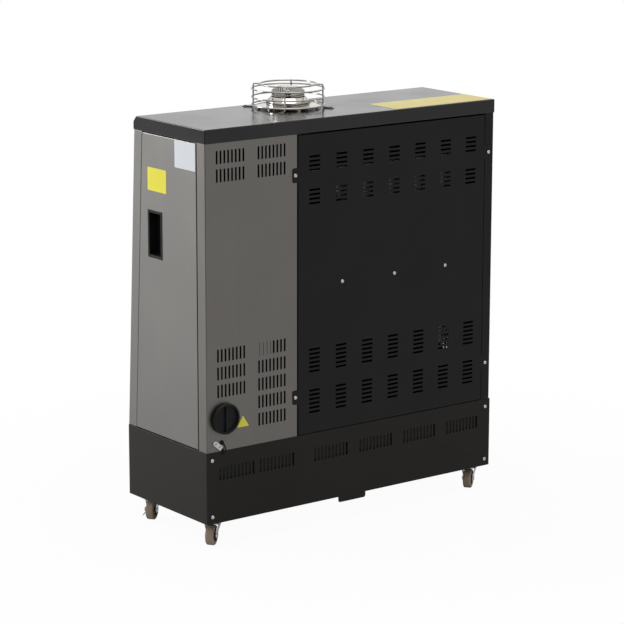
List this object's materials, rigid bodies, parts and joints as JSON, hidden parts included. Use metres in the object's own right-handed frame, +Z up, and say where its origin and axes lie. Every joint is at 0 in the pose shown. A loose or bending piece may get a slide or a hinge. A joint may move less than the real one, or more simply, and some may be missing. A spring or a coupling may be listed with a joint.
{
  "type": "infrared diesel heater",
  "caption": "Upright infrared diesel heater on casters: louvred back, hinged service door, fuel cap, caged exhaust outlet on the lid and a wire-guarded radiating front.",
  "frame": {"origin": "middle of the bounding box on the floor, under the middle of the casing", "axes": "+Z up, the radiating front faces -Y, the louvred back and the fuel cap face +Y, the service door is on the +X side"},
  "size_m": [0.9, 0.358, 1.0935],
  "materials": {
    "black_steel": "satin",
    "lid_steel": "satin",
    "side_steel": "satin",
    "bright_steel": "satin",
    "zinc": "satin",
    "polished_steel": "polished",
    "reflector_steel": "polished",
    "tube_steel": "matte",
    "tank_steel": "satin",
    "black_plastic": "matte",
    "panel_plastic": "gloss",
    "display": "gloss",
    "grey_plastic": "matte",
    "white_plastic": "matte",
    "board_green": "satin",
    "housing_steel": "satin",
    "motor_steel": "satin",
    "copper": "satin",
    "wheel_rubber": "matte",
    "seal_rubber": "matte",
    "white_sign": "satin",
    "yellow_sign": "satin",
    "black_screw": "satin"
  },
  "bodies": {
    "casing": {"base_shell": "black_steel", "base_rear_plate": "black_steel", "deck_plate": "bright_steel", "fuel_tank": "tank_steel", "under_bracket": "black_steel", "caster_plates": "zinc", "front_column": "side_steel", "rear_panel": "side_steel", "door_hinges": "zinc", "far_side_panel": "black_steel", "back_cover": "black_steel", "top_cover": "lid_steel", "inner_partition": "bright_steel", "reflector_back": "reflector_steel", "reflector_box": "reflector_steel", "radiant_tube": "tube_steel", "tube_saddles": "bright_steel", "flue_pipe": "bright_steel", "front_grille": "polished_steel", "front_frame": "black_steel", "control_panel": "panel_plastic", "display_window": "display", "control_board": "board_green", "fan_housing": "housing_steel", "burner_motor": "motor_steel", "burner_nozzle": "bright_steel", "ignition_transformer": "bright_steel", "fuel_pump": "motor_steel", "fuel_filter": "bright_steel", "fuel_line": "copper", "exhaust_base": "polished_steel", "exhaust_crown": "polished_steel", "exhaust_guard": "polished_steel", "guard_screws": "black_screw", "filler_neck": "tank_steel", "sensor_grommet": "seal_rubber", "sensor_lead": "seal_rubber", "sensor_clip": "white_plastic", "panel_screws": "zinc", "body_signs": "yellow_sign"},
    "caster_front_right": {"fork_front_right": "zinc"},
    "wheel_front_right": {"wheel_front_right": "wheel_rubber"},
    "brake_front_right": {"brake_front_right": "motor_steel"},
    "caster_rear_right": {"fork_rear_right": "zinc"},
    "wheel_rear_right": {"wheel_rear_right": "wheel_rubber"},
    "caster_front_left": {"fork_front_left": "zinc"},
    "wheel_front_left": {"wheel_front_left": "wheel_rubber"},
    "brake_front_left": {"brake_front_left": "motor_steel"},
    "caster_rear_left": {"fork_rear_left": "zinc"},
    "wheel_rear_left": {"wheel_rear_left": "wheel_rubber"},
    "door": {"side_door": "side_steel", "door_pull": "black_plastic", "door_signs": "white_sign"},
    "button_power": {"button_power": "grey_plastic"},
    "button_mode": {"button_mode": "grey_plastic"},
    "button_up": {"button_up": "grey_plastic"},
    "button_down": {"button_down": "grey_plastic"},
    "fan": {"fan_wheel": "bright_steel"},
    "filler_seal": {"cap_seal": "seal_rubber"},
    "filler_cap": {"fuel_cap": "black_plastic"}
  },
  "joints": [
    {"name": "swivel_front_right", "type": "hinge", "parent": "casing", "child": "caster_front_right", "pos_m": [0.402, -0.142, 0.058], "axis": [0, 0, 1], "continuous": true},
    {"name": "roll_front_right", "type": "hinge", "parent": "caster_front_right", "child": "wheel_front_right", "pos_m": [0.41146, -0.13461, 0.025], "axis": [-0.6157, 0.788, 0], "continuous": true},
    {"name": "brake_lift_front_right", "type": "hinge", "parent": "caster_front_right", "child": "brake_front_right", "pos_m": [0.41146, -0.13461, 0.025], "axis": [-0.6157, 0.788, 0], "range_deg": [0, 35]},
    {"name": "swivel_rear_right", "type": "hinge", "parent": "casing", "child": "caster_rear_right", "pos_m": [0.402, 0.122, 0.058], "axis": [0, 0, 1], "continuous": true},
    {"name": "roll_rear_right", "type": "hinge", "parent": "caster_rear_right", "child": "wheel_rear_right", "pos_m": [0.41146, 0.12939, 0.025], "axis": [-0.6157, 0.788, 0], "continuous": true},
    {"name": "swivel_front_left", "type": "hinge", "parent": "casing", "child": "caster_front_left", "pos_m": [-0.422, -0.142, 0.058], "axis": [0, 0, 1], "continuous": true},
    {"name": "roll_front_left", "type": "hinge", "parent": "caster_front_left", "child": "wheel_front_left", "pos_m": [-0.41254, -0.13461, 0.025], "axis": [-0.6157, 0.788, 0], "continuous": true},
    {"name": "brake_lift_front_left", "type": "hinge", "parent": "caster_front_left", "child": "brake_front_left", "pos_m": [-0.41254, -0.13461, 0.025], "axis": [-0.6157, 0.788, 0], "range_deg": [0, 35]},
    {"name": "swivel_rear_left", "type": "hinge", "parent": "casing", "child": "caster_rear_left", "pos_m": [-0.422, 0.122, 0.058], "axis": [0, 0, 1], "continuous": true},
    {"name": "roll_rear_left", "type": "hinge", "parent": "caster_rear_left", "child": "wheel_rear_left", "pos_m": [-0.41254, 0.12939, 0.025], "axis": [-0.6157, 0.788, 0], "continuous": true},
    {"name": "door_swing", "type": "hinge", "parent": "casing", "child": "door", "pos_m": [0.4419, 0.118, 0.245], "axis": [0, 0, 1], "range_deg": [0, 110]},
    {"name": "press_power", "type": "slide", "parent": "casing", "child": "button_power", "axis": [0, 0.9984, -0.0557], "range_m": [0, 0.0012], "stiffness_N_per_m": 400},
    {"name": "press_mode", "type": "slide", "parent": "casing", "child": "button_mode", "axis": [0, 0.9984, -0.0557], "range_m": [0, 0.0012], "stiffness_N_per_m": 400},
    {"name": "press_up", "type": "slide", "parent": "casing", "child": "button_up", "axis": [0, 0.9984, -0.0557], "range_m": [0, 0.0012], "stiffness_N_per_m": 400},
    {"name": "press_down", "type": "slide", "parent": "casing", "child": "button_down", "axis": [0, 0.9984, -0.0557], "range_m": [0, 0.0012], "stiffness_N_per_m": 400},
    {"name": "fan_spin", "type": "hinge", "parent": "casing", "child": "fan", "pos_m": [0.26, -0.025, 0.375], "axis": [1, 0, 0], "continuous": true},
    {"name": "cap_pull", "type": "slide", "parent": "casing", "child": "filler_seal", "axis": [0, 1, 0], "range_m": [0, 0.045]},
    {"name": "cap_turn", "type": "hinge", "parent": "filler_seal", "child": "filler_cap", "pos_m": [0.397, 0.167, 0.326], "axis": [0, 1, 0], "range_deg": [0, 90]}
  ]
}
